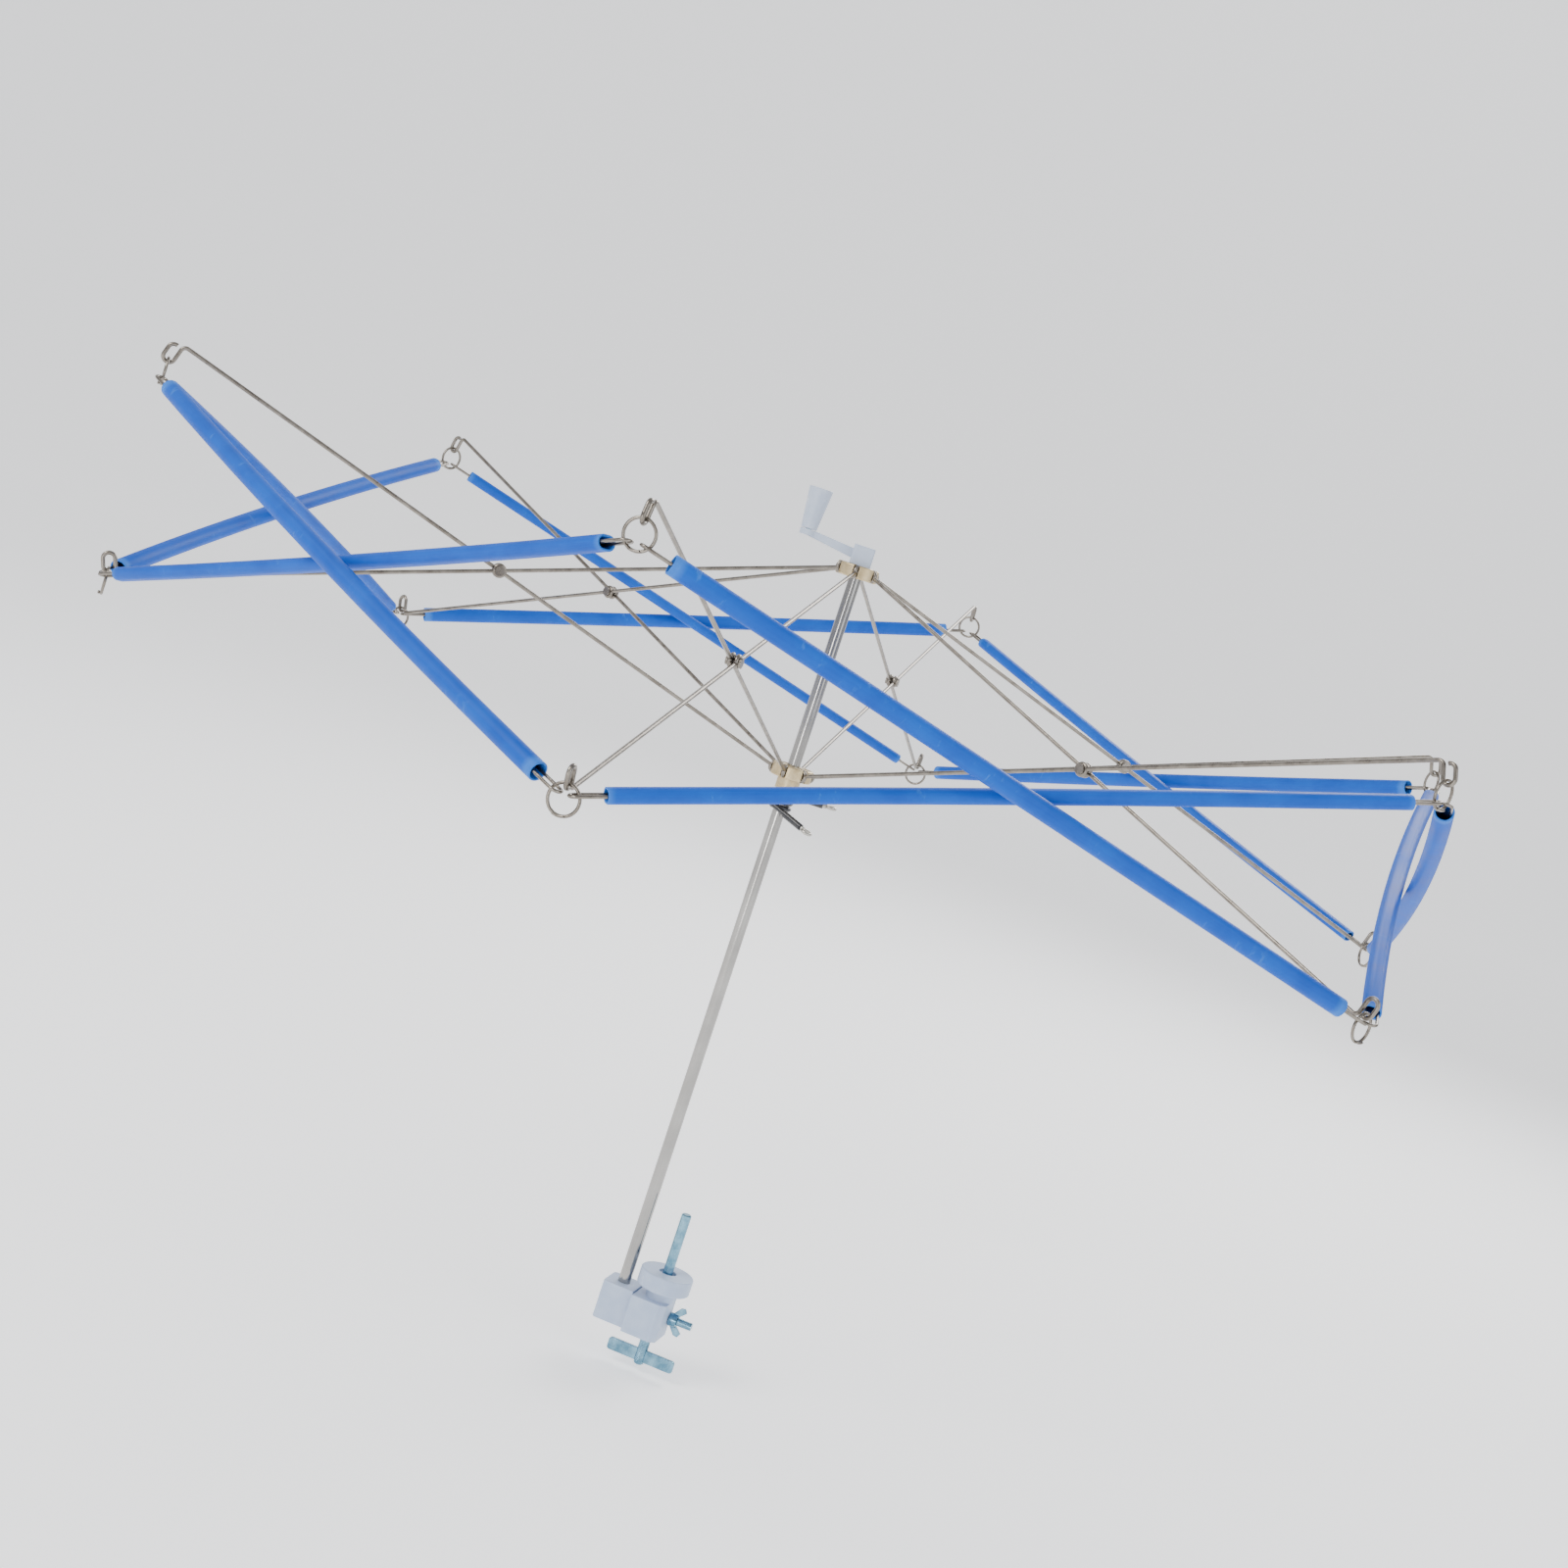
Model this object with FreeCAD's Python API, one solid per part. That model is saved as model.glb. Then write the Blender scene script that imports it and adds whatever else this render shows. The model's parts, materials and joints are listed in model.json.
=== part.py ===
import FreeCAD, Part
import math
import os

# An umbrella swift for winding yarn: six pairs of crossed wire arms carry twelve sleeved
# rails round a mast that stands in a table clamp. A hand crank turns the mast, and a
# runner that slides on it folds the arms.
#
# Millimetres. +Z runs up the clamp's stud and the mast, +X runs from the mast to the stud,
# and the origin is the centre of the clamp disc's top face.

Vec = FreeCAD.Vector
X_AXIS = Vec(1, 0, 0)
Y_AXIS = Vec(0, 1, 0)
Z_AXIS = Vec(0, 0, 1)
ORIGIN = Vec(0, 0, 0)

# ---- driving dimensions ------------------------------------------------------------

# folding frame
ARM_PAIRS = 6
ARM_INNER = 172.0            # inner eye to middle pivot, the same on both arms of a pair
ARM_OUTER = 179.0            # middle pivot to the outer bend
REST_ANGLE = 18.0            # slope of the arms at rest, degrees
ARM_WIRE_R = 1.0
ARM_SIDE_OFFSET = 1.4        # each arm's plane lies this far to its side of the mast's radial plane
HINGE_RING_R = 9.0           # centre line of the wire ring that the inner eyes turn on
HINGE_RING_WIRE_R = 0.8
EYE_TUBE_R = 1.1             # the flattened wire of an inner or middle eye
INNER_EYE_R = 2.3            # centre line of an inner eye
MIDDLE_EYE_R = 2.5           # centre line of a middle eye
RUNNING_GAP = 0.15           # radial clearance of a turning fit
SIDE_GAP = 0.3               # clearance between pieces that turn side by side

# hook at the outer end of an arm
HOOK_BEND_R = 2.4
HOOK_DROP = 6.0              # bend to the middle of the hook
HOOK_HALF_WIDTH = 2.75
HOOK_HALF_HEIGHT = 4.5
HOOK_CLOSE_ANGLE = 98.0      # how far round the last curve the wire reaches

# split rings and rails
RING_R = 6.3
RING_WIRE_R = 0.7
RING_SLACK = 0.35            # play between a ring and the hook that holds it
RAIL_ON_TOP_RING = -40.0     # where a rail pulls on its upper ring, degrees above level
RAIL_ON_LOW_RING = 31.0      # where it pulls on its lower ring
RAIL_WIRE_R = 0.7
RAIL_WIRE_GAP = 2.6          # half the distance between the two strands
RAIL_BOW = 5.6               # a rail bows aside by this much to pass the one it crosses
SLEEVE_WALL = 0.85
SLEEVE_WIDTH = 8.6           # across both strands of the wire
SLEEVE_ROUND_R = {1: 4.1, -1: 3.1}   # half a sleeve's height, on rails that run forwards and back
SLEEVE_SETBACK = 10.0        # ring to the mouth of the sleeve
TOP_LOOP_REACH = 3.0         # how far the rail's wire reaches past its ring
LOW_LOOP_REACH = 3.9

# mast, hubs and crank
MAST_R = 3.25
MAST_OFFSET = 20.5           # mast to clamp stud
HUB_R = 10.8
HUB_HEIGHT = 6.6
HUB_RIM_ROUND = 0.8
HUB_SLOT_SIDE_GAP = 0.45
RUNNER_NECK_R = 6.0
RUNNER_NECK_HEIGHT = 6.0
MAST_SLIDE_GAP = 0.2
HUB_ABOVE_HOLDER = 385.0     # holder's top to the upper hinge ring
CRANK_BLOCK = (11.0, 10.5, 10.0)
CRANK_AZIMUTH = 193.0
CRANK_THROW = 30.0
CRANK_TOP_WALL = 2.0         # plastic left over the mast's end
CRANK_ARM_FLARE = 1.0        # the arm is this much thicker, above and below, at the block
CRANK_ARM_THICKNESS = 3.0
CRANK_ARM_WIDTH = 4.4
CRANK_RISE = 3.0             # the crank arm climbs by this much towards the knob
KNOB_LOW_R = 4.1
KNOB_TOP_R = 6.2
KNOB_HEIGHT = 21.0
KNOB_WALL = 1.2
KNOB_FLOOR = 5.4
KNOB_PIN_HEAD_R = 2.3
KNOB_PIN_HEAD_HEIGHT = 1.0
KNOB_PIN_HEAD_GAP = 0.6      # knob floor to the pin's head
KNOB_PIN_R = 1.6
SET_SCREW_R = 1.6
SET_SCREW_DROP = 1.5         # below the middle of the crank's block
SET_SCREW_OUT = 0.9          # its head stands out of the block
SET_SCREW_SOCKET_R = 0.8
SET_SCREW_SOCKET_DEPTH = 1.2

# spring grip under the runner
GRIP_WIRE_R = 1.25
GRIP_COILS = 3
GRIP_COIL_PITCH = 0.96       # of the wire's thickness, so that the turns press together
GRIP_MAST_GAP = 0.1
GRIP_TAIL_OFFSET = 0.2       # the tail leaves the coil a little outside its centre line
GRIP_TAIL = 22.0             # coil to the start of the end loop
GRIP_UPPER_TURN = 18.0       # where the fixed tail points, degrees from +X
GRIP_LOWER_TURN = -22.0      # where the swinging tail points at rest
GRIP_HANDLE_R = 1.75
GRIP_LOOP_R = 2.2
GRIP_LOOP_WIRE_R = 0.9
GRIP_DIP = 15.0              # the swinging tail slopes down by this angle

# clamp
DISC_R = 14.0
DISC_HEIGHT = 8.8
DISC_RIM_ROUND = 0.9
DISC_RECESS_R = 4.6
DISC_RECESS_DEPTH = 1.6
NECK_R = 7.6
NECK_HEIGHT = 5.6
BLOCK_HEIGHT = 20.0
BLOCK_DEPTH = 24.0
BLOCK_RIGHT = 6.9            # stud to the block's right face
BLOCK_JOINT_GAP = 0.3
BLOCK_CHAMFER = 3.0
HOLDER_WIDTH = 17.0
HOLDER_DEPTH = 20.0
HOLDER_HEIGHT = 20.0
HOLDER_ABOVE_BLOCK = 1.0
HOLDER_SOCKET_DEPTH = 17.0
HOLDER_SOCKET_GAP = 0.06
STUD_R = 2.65
STUD_ABOVE_DISC = 32.0
STUD_BELOW_BLOCK = 16.5
SCREW_GAP = 0.1              # radial clearance of the clamp screw in its block
WING_LENGTH = 37.0
WING_HEIGHT = 6.6
WING_THICKNESS = 2.2
WING_DROP = 11.8             # block's underside to the middle of the wing
TILT_BOLT_R = 2.0
TILT_BOLT_WALL = 1.3         # between the clamp screw and the tilt bolt
TILT_HOLE_LENGTH = 60.0      # longer than the clamp body is wide
TILT_BOLT_HEAD_R = 3.6
TILT_BOLT_HEAD_HEIGHT = 2.6
TILT_BOLT_PAST_NUT = 8.0
WING_NUT_R = 3.6
WING_NUT_LENGTH = 4.5
WING_NUT_SPAN = 15.5
WING_NUT_THICKNESS = 1.8
WING_NUT_REACH = 8.0

# ---- sizes that follow -------------------------------------------------------------

BLOCK_TOP = -DISC_HEIGHT - NECK_HEIGHT
HOLDER_TOP = BLOCK_TOP + HOLDER_ABOVE_BLOCK
TOP_HINGE_Z = HOLDER_TOP + HUB_ABOVE_HOLDER
TILT_AXIS_Z = BLOCK_TOP - BLOCK_HEIGHT / 2
HOLDER_RIGHT = -MAST_OFFSET + HOLDER_WIDTH / 2
BLOCK_LEFT = HOLDER_RIGHT + BLOCK_JOINT_GAP
INNER_EYE_X = math.sqrt(HINGE_RING_R ** 2 - ARM_SIDE_OFFSET ** 2)
SLOPE = math.radians(REST_ANGLE)
RUNNER_DROP = 2 * ARM_INNER * math.sin(SLOPE)
RING_HANG = ARM_WIRE_R + RING_WIRE_R + RING_SLACK
MAST = Vec(-MAST_OFFSET, 0, 0)


# ---- small builders ----------------------------------------------------------------

def rod(start, end, radius):
    """A straight round bar."""
    along = end - start
    return Part.makeCylinder(radius, along.Length, start, along)


def wire_ring(centre, axis, ring_r, wire_r):
    return Part.makeTorus(ring_r, wire_r, centre, axis)


def swept_wire(edges, radius):
    """A round wire along edges that join smoothly."""
    path = Part.Wire(edges)
    start = edges[0].valueAt(edges[0].FirstParameter)
    along = edges[0].tangentAt(edges[0].FirstParameter)
    profile = Part.Wire(Part.makeCircle(radius, start, along))
    return path.makePipeShell([profile], True, False)


def line(start, end):
    return Part.LineSegment(start, end).toShape()


def arc(start, middle, end):
    return Part.Arc(start, middle, end).toShape()


def box(centre, size):
    corner = centre - Vec(size[0] / 2, size[1] / 2, size[2] / 2)
    return Part.makeBox(size[0], size[1], size[2], corner)


def turned(shape, axis, degrees, about=ORIGIN):
    out = shape.copy()
    out.rotate(about, axis, degrees)
    return out


def moved(shape, by):
    out = shape.copy()
    out.translate(by)
    return out


def azimuth(index):
    """Direction of an arm pair round the mast, in degrees from +X."""
    return -90.0 + 360.0 / ARM_PAIRS * index


def radial(index):
    angle = math.radians(azimuth(index))
    return Vec(math.cos(angle), math.sin(angle), 0)


def tangent(index):
    return Z_AXIS.cross(radial(index))


# ---- arms --------------------------------------------------------------------------

def arm_point(index, along, across, side):
    """A point of an arm at rest: side is +1 on a lower arm, which hangs from the upper
    hub, and -1 on an upper arm. along runs outwards from the middle pivot, and across
    points to the side that the arm's hook is on."""
    out = INNER_EYE_X + ARM_INNER * math.cos(SLOPE)
    out += along * math.cos(SLOPE) + across * math.sin(SLOPE)
    up = -ARM_INNER * math.sin(SLOPE)
    up += side * (across * math.cos(SLOPE) - along * math.sin(SLOPE))
    place = radial(index) * out + tangent(index) * (side * ARM_SIDE_OFFSET)
    return MAST + place + Z_AXIS * (TOP_HINGE_Z + up)


def hook_edges():
    """The outer wire of a lower arm, flat in XZ: from the middle eye to the hook's end."""
    start = Vec(MIDDLE_EYE_R, 0, 0)
    corner = ARM_OUTER
    lean = HOOK_BEND_R * math.sqrt(0.5)
    top = HOOK_DROP + HOOK_HALF_HEIGHT - HOOK_HALF_WIDTH
    low = HOOK_DROP - HOOK_HALF_HEIGHT + HOOK_HALF_WIDTH
    middle = corner + HOOK_HALF_WIDTH
    far = corner + 2 * HOOK_HALF_WIDTH
    close = math.radians(HOOK_CLOSE_ANGLE)

    def on_low_curve(angle):
        return Vec(middle + HOOK_HALF_WIDTH * math.cos(angle), 0, low - HOOK_HALF_WIDTH * math.sin(angle))

    return [
        line(start, Vec(corner - HOOK_BEND_R, 0, 0)),
        arc(
            Vec(corner - HOOK_BEND_R, 0, 0),
            Vec(corner - HOOK_BEND_R + lean, 0, HOOK_BEND_R - lean),
            Vec(corner, 0, HOOK_BEND_R),
        ),
        line(Vec(corner, 0, HOOK_BEND_R), Vec(corner, 0, top)),
        arc(Vec(corner, 0, top), Vec(middle, 0, top + HOOK_HALF_WIDTH), Vec(far, 0, top)),
        line(Vec(far, 0, top), Vec(far, 0, low)),
        arc(Vec(far, 0, low), on_low_curve(close / 2), on_low_curve(close)),
    ]


def plain_arm():
    """One bent wire with its inner and middle eyes, in XZ, with its hook towards +Z."""
    inner_eye = wire_ring(Vec(-ARM_INNER, 0, 0), Y_AXIS, INNER_EYE_R, EYE_TUBE_R)
    middle_eye = wire_ring(ORIGIN, Y_AXIS, MIDDLE_EYE_R, EYE_TUBE_R)
    inner_wire = rod(Vec(INNER_EYE_R - ARM_INNER, 0, 0), Vec(-MIDDLE_EYE_R, 0, 0), ARM_WIRE_R)
    outer_wire = swept_wire(hook_edges(), ARM_WIRE_R)
    return inner_eye.fuse([inner_wire, middle_eye, outer_wire])


def place_arm(shape, index, side):
    """Leans a flat arm to its rest slope and stands it at its place round the mast."""
    out = shape.copy()
    if side < 0:
        out = out.mirror(ORIGIN, Z_AXIS)
    out.rotate(ORIGIN, Y_AXIS, side * REST_ANGLE)
    out.translate(Vec(INNER_EYE_X + ARM_INNER * math.cos(SLOPE), side * ARM_SIDE_OFFSET, 0))
    out.rotate(ORIGIN, Z_AXIS, azimuth(index))
    out.translate(MAST + Z_AXIS * (TOP_HINGE_Z - ARM_INNER * math.sin(SLOPE)))
    return out


def pivot_rivet(index):
    """The headed pin through the two middle eyes of a pair."""
    centre = arm_point(index, 0, 0, 1) - tangent(index) * ARM_SIDE_OFFSET
    half = ARM_SIDE_OFFSET + EYE_TUBE_R + RUNNING_GAP
    side = tangent(index)
    head = 1.0
    shank_r = MIDDLE_EYE_R - EYE_TUBE_R - RUNNING_GAP
    shank = rod(centre - side * (half + head), centre + side * (half + head), shank_r)
    near_head = rod(centre - side * (half + head), centre - side * half, MIDDLE_EYE_R)
    far_head = rod(centre + side * half, centre + side * (half + head), MIDDLE_EYE_R)
    return shank.fuse([near_head, far_head])


# ---- rings and rails ---------------------------------------------------------------

def ring_pivot(index, side):
    """The centre of the lowest curve of a hook, which the ring's wire runs round."""
    low_curve = HOOK_DROP - side * (HOOK_HALF_HEIGHT - HOOK_HALF_WIDTH)
    return arm_point(index, ARM_OUTER + HOOK_HALF_WIDTH, low_curve, side)


def ring_centre(index, side):
    """A ring hangs plumb in its hook."""
    wire_depth = HOOK_HALF_WIDTH - RING_HANG
    return ring_pivot(index, side) - Z_AXIS * (wire_depth + RING_R)


def ring(index, side):
    return wire_ring(ring_centre(index, side), radial(index), RING_R, RING_WIRE_R)


def rail_ends(index, turn):
    """Where a rail from upper ring index pulls on its two rings. turn is +1 for the rail
    to the next pair round the mast and -1 for the rail to the one before."""
    top_angle = math.radians(RAIL_ON_TOP_RING)
    top = ring_centre(index, -1)
    top += tangent(index) * (turn * RING_R * math.cos(top_angle)) + Z_AXIS * (RING_R * math.sin(top_angle))
    low_angle = math.radians(RAIL_ON_LOW_RING)
    low = ring_centre(index + turn, 1)
    low -= tangent(index + turn) * (turn * RING_R * math.cos(low_angle))
    low += Z_AXIS * (RING_R * math.sin(low_angle))
    return top, low


def rail_length(turn):
    top, low = rail_ends(0, turn)
    return (low - top).Length


def bow_radius(length):
    return (length ** 2 / 4 + RAIL_BOW ** 2) / (2 * RAIL_BOW)


def on_bow(length, x, offset):
    """A point beside a rail's bowed centre line, x along the chord, offset outwards, and
    the direction of the line there."""
    radius = bow_radius(length)
    angle = math.asin((x - length / 2) / radius)
    centre = Vec(length / 2, RAIL_BOW - radius, 0)
    point = centre + Vec(math.sin(angle), math.cos(angle), 0) * (radius + offset)
    return point, Vec(math.cos(angle), -math.sin(angle), 0)


def half_link(length, end_x, reach):
    """Half of the rail's wire: two strands from the middle to the loop round a ring."""
    way = 1.0 if end_x > length / 2 else -1.0
    outer, along = on_bow(length, end_x, RAIL_WIRE_GAP)
    inner, _ = on_bow(length, end_x, -RAIL_WIRE_GAP)
    along = along * way
    straight = along * (reach - RAIL_WIRE_GAP)
    quarter = (end_x + length / 2) / 2
    loop_centre = (outer + inner) * 0.5 + straight
    edges = [
        arc(
            on_bow(length, length / 2, RAIL_WIRE_GAP)[0],
            on_bow(length, quarter, RAIL_WIRE_GAP)[0],
            outer,
        ),
        line(outer, outer + straight),
        arc(outer + straight, loop_centre + along * RAIL_WIRE_GAP, inner + straight),
        line(inner + straight, inner),
        arc(
            inner,
            on_bow(length, quarter, -RAIL_WIRE_GAP)[0],
            on_bow(length, length / 2, -RAIL_WIRE_GAP)[0],
        ),
    ]
    return swept_wire(edges, RAIL_WIRE_R)


def flat_link(length):
    """The closed wire inside a rail, with its upper loop at the origin, bowed to +Y."""
    upper = half_link(length, 0.0, TOP_LOOP_REACH)
    lower = half_link(length, length, LOW_LOOP_REACH)
    return upper.fuse(lower).removeSplitter()


def oval_wire(centre, across, up, half_flat, round_r):
    """A flat-sided oval, wide along across."""
    corners = {}
    for a in (-1, 1):
        for b in (-1, 1):
            corners[a, b] = centre + across * (a * half_flat) + up * (b * round_r)
    right = centre + across * (half_flat + round_r)
    left = centre - across * (half_flat + round_r)
    return Part.Wire([
        line(corners[-1, 1], corners[1, 1]),
        arc(corners[1, 1], right, corners[1, -1]),
        line(corners[1, -1], corners[-1, -1]),
        arc(corners[-1, -1], left, corners[-1, 1]),
    ])


def flat_sleeve(length, turn):
    """The oval tube over a rail's wire."""
    round_r = SLEEVE_ROUND_R[turn]
    half_flat = SLEEVE_WIDTH / 2 - round_r
    start, along = on_bow(length, SLEEVE_SETBACK, 0)
    across = Z_AXIS.cross(along)
    outer = oval_wire(start, across, Z_AXIS, half_flat, round_r)
    inner = oval_wire(start, across, Z_AXIS, half_flat, round_r - SLEEVE_WALL)
    section = Part.Face(outer).cut(Part.Face(inner)).Faces[0]
    radius = bow_radius(length)
    centre = Vec(length / 2, RAIL_BOW - radius, 0)
    sweep = 2 * math.degrees(math.asin((length / 2 - SLEEVE_SETBACK) / radius))
    return section.revolve(centre, Z_AXIS, -sweep)


def place_rail(shape, index, turn):
    """Lays a flat rail between its two rings. The rails that run forwards bow outwards,
    and the ones that run back bow inwards, so that they pass each other."""
    top, low = rail_ends(index, turn)
    along = (low - top).normalize()
    outward = radial(index + turn * 0.5)
    bowed = along.cross(outward).cross(along).normalize() * turn
    third = along.cross(bowed)
    matrix = FreeCAD.Matrix(
        along.x, bowed.x, third.x, top.x,
        along.y, bowed.y, third.y, top.y,
        along.z, bowed.z, third.z, top.z,
        0, 0, 0, 1,
    )
    out = shape.copy()
    out.Placement = FreeCAD.Placement(matrix)
    return out


# ---- hubs --------------------------------------------------------------------------

def arm_slots(hinge_z, side):
    """The slots that the inner eyes swing in."""
    half = EYE_TUBE_R + HUB_SLOT_SIDE_GAP
    depth = INNER_EYE_X - INNER_EYE_R - EYE_TUBE_R - SIDE_GAP
    cutters = []
    for index in range(ARM_PAIRS):
        slot = Part.makeBox(HUB_R, 2 * half, 3 * HUB_HEIGHT, Vec(depth, side * ARM_SIDE_OFFSET - half, 0))
        slot.translate(Vec(0, 0, -1.5 * HUB_HEIGHT))
        slot.rotate(ORIGIN, Z_AXIS, azimuth(index))
        cutters.append(moved(slot, MAST + Z_AXIS * hinge_z))
    return cutters


def hub_disc(hinge_z, side, bore_r):
    """A slotted disc that holds the wire ring the arms turn on."""
    base = MAST + Z_AXIS * (hinge_z - HUB_HEIGHT / 2)
    disc = Part.makeCylinder(HUB_R, HUB_HEIGHT, base)
    rims = [e for e in disc.Edges if e.isClosed() and isinstance(e.Curve, Part.Circle)]
    disc = disc.makeFillet(HUB_RIM_ROUND, rims)
    seat = wire_ring(MAST + Z_AXIS * hinge_z, Z_AXIS, HINGE_RING_R, HINGE_RING_WIRE_R + 0.02)
    bore = Part.makeCylinder(bore_r, 3 * HUB_HEIGHT, base - Z_AXIS * HUB_HEIGHT)
    return disc.cut(arm_slots(hinge_z, side) + [seat, bore])


def hinge_ring(hinge_z):
    return wire_ring(MAST + Z_AXIS * hinge_z, Z_AXIS, HINGE_RING_R, HINGE_RING_WIRE_R)


def upper_hub():
    return hub_disc(TOP_HINGE_Z, 1, MAST_R)


def runner_z():
    return TOP_HINGE_Z - RUNNER_DROP


def runner_foot():
    return runner_z() - HUB_HEIGHT / 2 - RUNNER_NECK_HEIGHT


def lower_hub():
    bore_r = MAST_R + MAST_SLIDE_GAP
    disc = hub_disc(runner_z(), -1, bore_r)
    neck = Part.makeCylinder(RUNNER_NECK_R, RUNNER_NECK_HEIGHT, MAST + Z_AXIS * runner_foot())
    bore = Part.makeCylinder(bore_r, RUNNER_NECK_HEIGHT, MAST + Z_AXIS * runner_foot())
    return disc.fuse(neck.cut(bore)).removeSplitter()


# ---- mast and crank ----------------------------------------------------------------

def mast():
    bottom = HOLDER_TOP - HOLDER_SOCKET_DEPTH
    top = TOP_HINGE_Z + HUB_HEIGHT / 2 + CRANK_BLOCK[2] - CRANK_TOP_WALL
    return Part.makeCylinder(MAST_R, top - bottom, MAST + Z_AXIS * bottom)


def crank_base_z():
    return TOP_HINGE_Z + HUB_HEIGHT / 2


def crank_place(shape):
    """Turns a crank piece drawn along +X to its side of the mast."""
    return moved(turned(shape, Z_AXIS, CRANK_AZIMUTH), MAST + Z_AXIS * crank_base_z())


def knob_seat_z():
    """Height of the crank arm's top at the knob, above the crank's underside."""
    return CRANK_BLOCK[2] / 2 + CRANK_RISE + CRANK_ARM_THICKNESS / 2


def crank_arm():
    long, wide, high = CRANK_BLOCK
    block = box(Vec(0, 0, high / 2), CRANK_BLOCK)
    block = block.makeFillet(1.2, [e for e in block.Edges if abs(e.tangentAt(0).z) > 0.9])
    half = CRANK_ARM_THICKNESS / 2
    mid = high / 2
    profile = Part.makePolygon([
        Vec(long / 2 - 1, 0, mid - half - CRANK_ARM_FLARE),
        Vec(CRANK_THROW, 0, mid + CRANK_RISE - half),
        Vec(CRANK_THROW, 0, mid + CRANK_RISE + half),
        Vec(CRANK_THROW - KNOB_LOW_R, 0, mid + CRANK_RISE + half),
        Vec(long / 2 - 1, 0, mid + half + CRANK_ARM_FLARE),
        Vec(long / 2 - 1, 0, mid - half - CRANK_ARM_FLARE),
    ])
    web = Part.Face(profile).extrude(Y_AXIS * CRANK_ARM_WIDTH)
    web.translate(Y_AXIS * (-CRANK_ARM_WIDTH / 2))
    pad = Part.makeCylinder(KNOB_LOW_R, CRANK_ARM_THICKNESS, Vec(CRANK_THROW, 0, mid + CRANK_RISE - half))
    arm = block.fuse([web, pad]).removeSplitter()
    bore = Part.makeCylinder(MAST_R, high - CRANK_TOP_WALL)
    pin_hole = Part.makeCylinder(KNOB_PIN_R, 3 * CRANK_ARM_THICKNESS, Vec(CRANK_THROW, 0, mid))
    screw_hole = Part.makeCylinder(SET_SCREW_R, wide, Vec(0, -MAST_R, high / 2 - SET_SCREW_DROP), Y_AXIS * -1)
    return crank_place(arm.cut([bore, pin_hole, screw_hole]))


def crank_set_screw():
    start = Vec(0, -MAST_R, CRANK_BLOCK[2] / 2 - SET_SCREW_DROP)
    length = CRANK_BLOCK[1] / 2 - MAST_R + SET_SCREW_OUT
    screw = Part.makeCylinder(SET_SCREW_R, length, start, Y_AXIS * -1)
    socket = Part.makeCylinder(SET_SCREW_SOCKET_R, SET_SCREW_SOCKET_DEPTH, start - Y_AXIS * length, Y_AXIS)
    return crank_place(screw.cut(socket))


def knob_pin():
    low = CRANK_BLOCK[2] / 2 + CRANK_RISE - CRANK_ARM_THICKNESS / 2
    head_z = knob_seat_z() + SIDE_GAP + KNOB_FLOOR + KNOB_PIN_HEAD_GAP
    pin = Part.makeCylinder(KNOB_PIN_R, head_z - low, Vec(CRANK_THROW, 0, low))
    head = Part.makeCylinder(KNOB_PIN_HEAD_R, KNOB_PIN_HEAD_HEIGHT, Vec(CRANK_THROW, 0, head_z))
    return crank_place(pin.fuse(head))


def crank_knob():
    base = Vec(CRANK_THROW, 0, knob_seat_z() + SIDE_GAP)
    body = Part.makeCone(KNOB_LOW_R, KNOB_TOP_R, KNOB_HEIGHT, base)
    slope = (KNOB_TOP_R - KNOB_LOW_R) / KNOB_HEIGHT
    hollow = Part.makeCone(
        KNOB_LOW_R + slope * KNOB_FLOOR - KNOB_WALL,
        KNOB_TOP_R - KNOB_WALL,
        KNOB_HEIGHT - KNOB_FLOOR,
        base + Z_AXIS * KNOB_FLOOR,
    )
    bore = Part.makeCylinder(KNOB_PIN_R + RUNNING_GAP, KNOB_FLOOR, base)
    return crank_place(body.cut([hollow, bore]))


# ---- spring grip -------------------------------------------------------------------

def grip_coil_r():
    return MAST_R + GRIP_MAST_GAP + GRIP_WIRE_R


def grip_top():
    return runner_foot() - SIDE_GAP - GRIP_WIRE_R


def grip_tail(height, degrees, dip):
    """A straight tail that leaves the coil, with a thicker handle and a small end loop."""
    coil = grip_coil_r()
    start = Vec(0, -coil - GRIP_TAIL_OFFSET, 0)
    wire = rod(start, start + X_AXIS * GRIP_TAIL, GRIP_WIRE_R)
    handle = rod(start + X_AXIS * (coil + 3.0), start + X_AXIS * (GRIP_TAIL - 2.0), GRIP_HANDLE_R)
    loop = wire_ring(start + X_AXIS * (GRIP_TAIL + GRIP_LOOP_R), Z_AXIS, GRIP_LOOP_R, GRIP_LOOP_WIRE_R)
    tail = turned(wire.fuse([handle, loop]), Y_AXIS, dip, start)
    return moved(turned(tail, Z_AXIS, degrees), MAST + Z_AXIS * height)


def grip_turns():
    """The coil as flat turns that lie on each other, as a close-wound spring does."""
    pitch = 2 * GRIP_WIRE_R
    turns = []
    for turn in range(GRIP_COILS):
        centre = MAST + Z_AXIS * (grip_top() - turn * pitch * GRIP_COIL_PITCH)
        turns.append(wire_ring(centre, Z_AXIS, grip_coil_r(), GRIP_WIRE_R))
    return turns[0].fuse(turns[1:])


def grip_coil():
    return grip_turns().fuse(grip_tail(grip_top(), GRIP_UPPER_TURN, 0)).removeSplitter()


def grip_lower_z():
    return grip_top() - GRIP_COILS * 2 * GRIP_WIRE_R - SIDE_GAP


def grip_handle():
    """The last turn of the spring, which swings when the two tails are squeezed."""
    last = wire_ring(MAST + Z_AXIS * grip_lower_z(), Z_AXIS, grip_coil_r(), GRIP_WIRE_R)
    return last.fuse(grip_tail(grip_lower_z(), GRIP_LOWER_TURN, GRIP_DIP)).removeSplitter()


# ---- clamp -------------------------------------------------------------------------

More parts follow.
